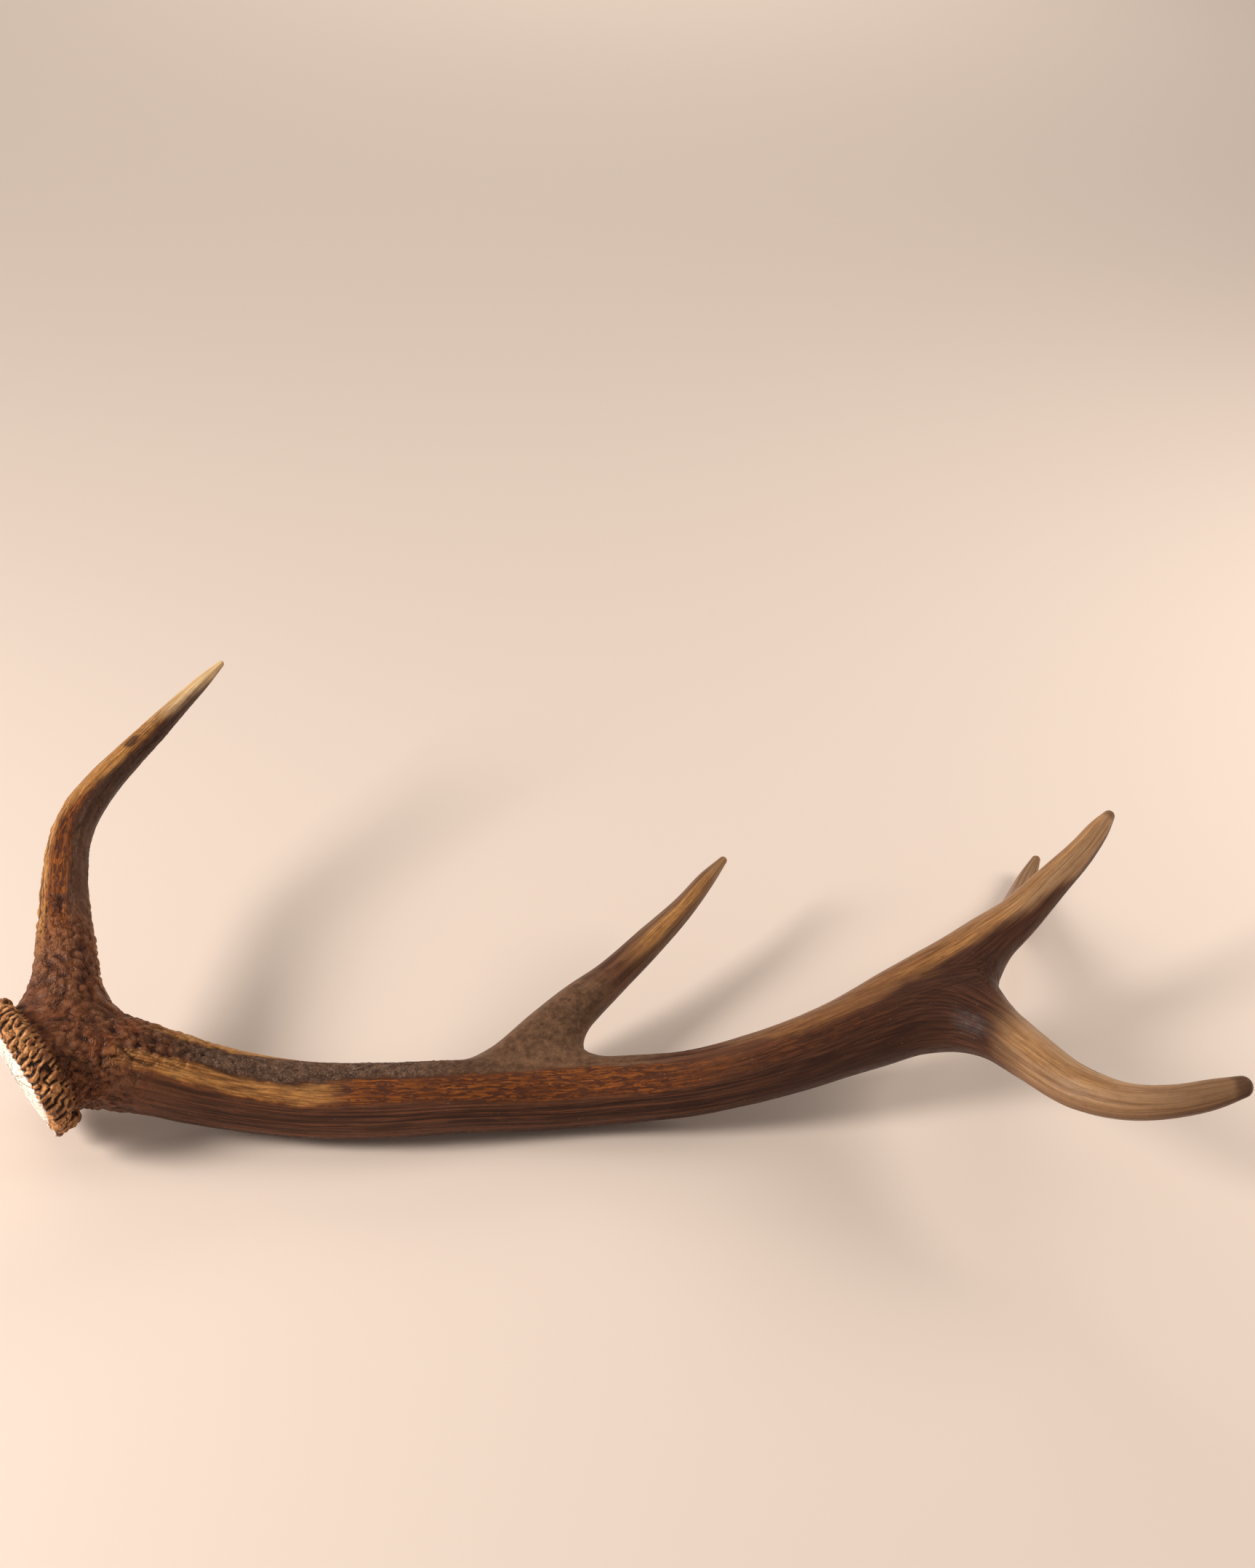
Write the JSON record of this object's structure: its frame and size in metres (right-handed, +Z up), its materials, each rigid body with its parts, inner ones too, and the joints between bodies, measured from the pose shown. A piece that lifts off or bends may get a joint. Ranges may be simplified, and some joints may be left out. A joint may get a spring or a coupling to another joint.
{
  "type": "deer antler",
  "caption": "Cast antler lying on its side: a curved beam with a beaded burr and a flat cast face, a long brow tine, a trez tine and a branched crown.",
  "frame": {"origin": "middle of the footprint on the surface that the antler lies on", "axes": "+X from the burr to the crown, +Y to the side that the tines point to, +Z up"},
  "size_m": [0.5487, 0.2783, 0.1057],
  "materials": {
    "beam_bone": "dark brown bone with long grooves, pearled near the burr, half matt",
    "brow_bone": "reddish brown grooved bone, worn to cream at the tip",
    "tine_bone": "tan brown bone, finely grained, lighter at the tip",
    "crown_bone": "polished taupe bone with a soft sheen"
  },
  "bodies": {
    "root": {"lower_beam": "beam_bone", "upper_beam": "beam_bone", "brow_tine": "brow_bone", "trez_tine": "tine_bone", "upper_crown_tine": "crown_bone", "outer_crown_tine": "crown_bone", "rear_crown_tine": "crown_bone"}
  },
  "joints": []
}
